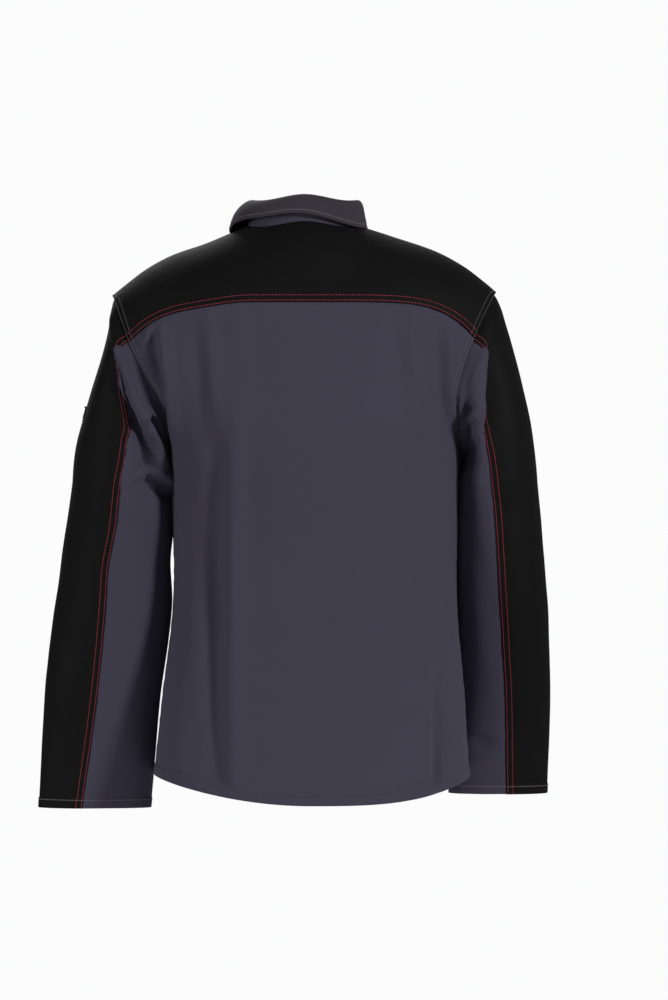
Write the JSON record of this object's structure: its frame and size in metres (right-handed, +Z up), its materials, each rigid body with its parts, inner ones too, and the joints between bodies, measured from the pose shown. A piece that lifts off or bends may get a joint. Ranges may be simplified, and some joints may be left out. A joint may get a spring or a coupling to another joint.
{
  "type": "welding jacket",
  "caption": "Long-sleeved protective work jacket in grey and black twill with a turn-down collar, concealed stud front, flapped chest pockets and set-in sleeves.",
  "frame": {"origin": "where a hook bears under the top of the hanger loop, inside the back of the neck", "axes": "+Z up as the jacket hangs, -Y out of the front, +X to the wearer's left"},
  "size_m": [0.6492, 0.2938, 0.7733],
  "materials": {
    "grey_twill": "charcoal grey flame-retardant twill",
    "black_twill": "black flame-retardant twill",
    "pocketing": "plain grey pocketing",
    "label_cloth": "plain woven label, blank",
    "stud_metal": "dark nickelled press stud"
  },
  "bodies": {
    "jacket_body": {"back_panel": "grey_twill", "back_yoke": "black_twill", "collar_leaf": "grey_twill", "collar_stand": "grey_twill", "front_socket_1": "stud_metal", "front_socket_2": "stud_metal", "front_socket_3": "stud_metal", "front_stud_1": "stud_metal", "front_stud_2": "stud_metal", "front_stud_3": "stud_metal", "hanger_loop": "black_twill", "inside_pocket": "pocketing", "left_chest_pocket": "grey_twill", "left_flap_stud": "stud_metal", "left_fly_facing_upper": "grey_twill", "left_front_upper": "grey_twill", "left_front_yoke": "black_twill", "left_pocket_bag": "pocketing", "left_pocket_welt": "grey_twill", "left_side_front": "grey_twill", "left_sleeve_head_outer": "black_twill", "left_sleeve_head_under": "grey_twill", "pen_pocket": "black_twill", "right_chest_pocket": "grey_twill", "right_flap_stud": "stud_metal", "right_front_upper": "grey_twill", "right_front_yoke": "black_twill", "right_placket_upper": "grey_twill", "right_pocket_bag": "pocketing", "right_pocket_welt": "grey_twill", "right_side_front": "grey_twill", "right_sleeve_head_outer": "black_twill", "right_sleeve_head_under": "grey_twill", "size_label": "label_cloth"},
    "left_front": {"left_front_lower": "grey_twill", "left_fly_facing_lower": "grey_twill", "front_socket_4": "stud_metal", "front_socket_5": "stud_metal", "front_socket_6": "stud_metal"},
    "right_front": {"right_front_lower": "grey_twill", "right_placket_lower": "grey_twill", "front_stud_4": "stud_metal", "front_stud_5": "stud_metal", "front_stud_6": "stud_metal"},
    "left_flap": {"left_chest_flap": "grey_twill", "left_flap_socket": "stud_metal"},
    "right_flap": {"right_chest_flap": "grey_twill", "right_flap_socket": "stud_metal"},
    "left_arm": {"left_arm_outer": "black_twill", "left_arm_under": "grey_twill"},
    "right_arm": {"right_arm_outer": "black_twill", "right_arm_under": "grey_twill"},
    "left_forearm": {"left_forearm_outer": "black_twill", "left_forearm_under": "grey_twill"},
    "right_forearm": {"right_forearm_outer": "black_twill", "right_forearm_under": "grey_twill"}
  },
  "joints": [
    {"name": "left_front_swing", "type": "hinge", "parent": "jacket_body", "child": "left_front", "pos_m": [0.1425, -0.17283, -0.5381], "axis": [0, 0, 1], "range_deg": [0, 60]},
    {"name": "right_front_swing", "type": "hinge", "parent": "jacket_body", "child": "right_front", "pos_m": [-0.1625, -0.17323, -0.5381], "axis": [0, 0, -1], "range_deg": [0, 36]},
    {"name": "left_flap_lift", "type": "hinge", "parent": "jacket_body", "child": "left_flap", "pos_m": [0.09, -0.19153, -0.1899], "axis": [-0.994, -0.109, 0], "range_deg": [0, 110]},
    {"name": "right_flap_lift", "type": "hinge", "parent": "jacket_body", "child": "right_flap", "pos_m": [-0.101, -0.19153, -0.1899], "axis": [-0.994, 0.109, 0], "range_deg": [0, 110]},
    {"name": "left_arm_raise", "type": "hinge", "parent": "jacket_body", "child": "left_arm", "pos_m": [0.298, -0.06203, -0.3481], "axis": [0, -1, 0], "range_deg": [0, 50], "stiffness_Nm_per_rad": 0.4, "springref_deg": -57.3},
    {"name": "right_arm_raise", "type": "hinge", "parent": "jacket_body", "child": "right_arm", "pos_m": [-0.296, -0.06503, -0.3481], "axis": [0, 1, 0], "range_deg": [0, 50], "stiffness_Nm_per_rad": 0.4, "springref_deg": -57.3},
    {"name": "left_elbow_bend", "type": "hinge", "parent": "left_arm", "child": "left_forearm", "pos_m": [0.244, -0.13403, -0.5081], "axis": [-1, 0, 0], "range_deg": [0, 75], "stiffness_Nm_per_rad": 0.2, "springref_deg": -57.3},
    {"name": "right_elbow_bend", "type": "hinge", "parent": "right_arm", "child": "right_forearm", "pos_m": [-0.25, -0.15553, -0.5081], "axis": [-1, 0, 0], "range_deg": [0, 75], "stiffness_Nm_per_rad": 0.2, "springref_deg": -57.3}
  ],
  "couplings": [
    {"joint": "right_front_swing", "follows": "left_front_swing", "ratio": 0.6}
  ]
}
